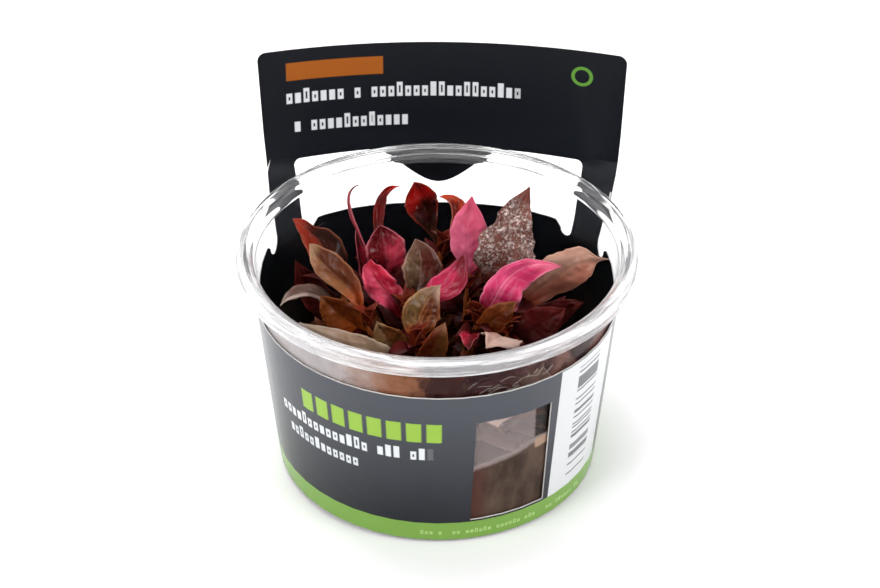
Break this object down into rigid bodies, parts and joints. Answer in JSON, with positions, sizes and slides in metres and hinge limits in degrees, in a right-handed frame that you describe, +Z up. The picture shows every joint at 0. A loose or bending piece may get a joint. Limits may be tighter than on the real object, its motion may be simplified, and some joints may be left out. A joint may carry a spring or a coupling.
{
  "type": "potted aquarium plant in a culture cup",
  "caption": "Red-leaved aquarium plantlets growing on gel in an open clear tapered culture cup, held in a printed card sleeve with a tall header at the back.",
  "frame": {"origin": "centre of the underside of the cup, on the surface that it stands on", "axes": "+Z up along the cup's axis, +Y towards the card header at the back, -Y towards the front of the sleeve"},
  "size_m": [0.102, 0.1046, 0.0928],
  "materials": {
    "clear_plastic": "clear glossy moulded plastic",
    "culture_gel": "wet, pale amber, half clear gel",
    "printed_card": "satin varnished printed card, near black, slate grey in front",
    "stem": "smooth wet plant stem, orange to red-brown",
    "leaf_pink": "wet veined leaf, hot pink to crimson",
    "leaf_red": "wet glossy leaf, red to deep crimson",
    "leaf_brown": "wet veined leaf, brown to tan",
    "leaf_olive": "veined leaf, olive with orange streaks",
    "leaf_tan": "pale fading leaf, tan to grey",
    "leaf_dark": "dark maroon leaf"
  },
  "bodies": {
    "root": {"cup": "clear_plastic", "culture_gel": "culture_gel", "card_sleeve": "printed_card", "stem_back": "stem", "stem_back_left": "stem", "stem_centre_back": "stem", "stem_front": "stem", "stem_left": "stem", "stem_left_front": "stem", "stem_middle": "stem", "stem_right": "stem", "stem_right_back": "stem", "stem_right_front": "stem", "leaf_pink_diagonal": "leaf_pink", "leaf_pink_front": "leaf_pink", "leaf_pink_tall": "leaf_pink", "leaf_pink_thread": "leaf_pink", "leaf_pink_wavy": "leaf_pink", "leaf_crimson_front": "leaf_red", "leaf_crimson_narrow": "leaf_red", "leaf_crimson_shiny": "leaf_red", "leaf_red_arc": "leaf_red", "leaf_red_top": "leaf_red", "leaf_rust_back": "leaf_red", "leaf_small_orange": "leaf_red", "leaf_amber_short": "leaf_brown", "leaf_brown_long": "leaf_brown", "leaf_brown_spear": "leaf_brown", "leaf_brown_under": "leaf_brown", "leaf_brown_wet": "leaf_brown", "leaf_low_back": "leaf_olive", "leaf_low_back_left": "leaf_olive", "leaf_low_front": "leaf_olive", "leaf_low_left": "leaf_olive", "leaf_low_right": "leaf_olive", "leaf_olive_front": "leaf_olive", "leaf_olive_left": "leaf_olive", "leaf_olive_mid": "leaf_olive", "leaf_streaky_green": "leaf_olive", "leaf_beige_front": "leaf_tan", "leaf_grey_curl": "leaf_tan", "leaf_tan_rim": "leaf_tan", "leaf_window_left": "leaf_tan", "leaf_window_middle": "leaf_tan", "leaf_dark_centre": "leaf_dark", "leaf_dark_red_right": "leaf_dark", "leaf_dark_right_edge": "leaf_dark", "leaf_maroon_left": "leaf_dark", "leaf_maroon_mid": "leaf_dark", "leaf_window_right": "leaf_dark"}
  },
  "joints": []
}
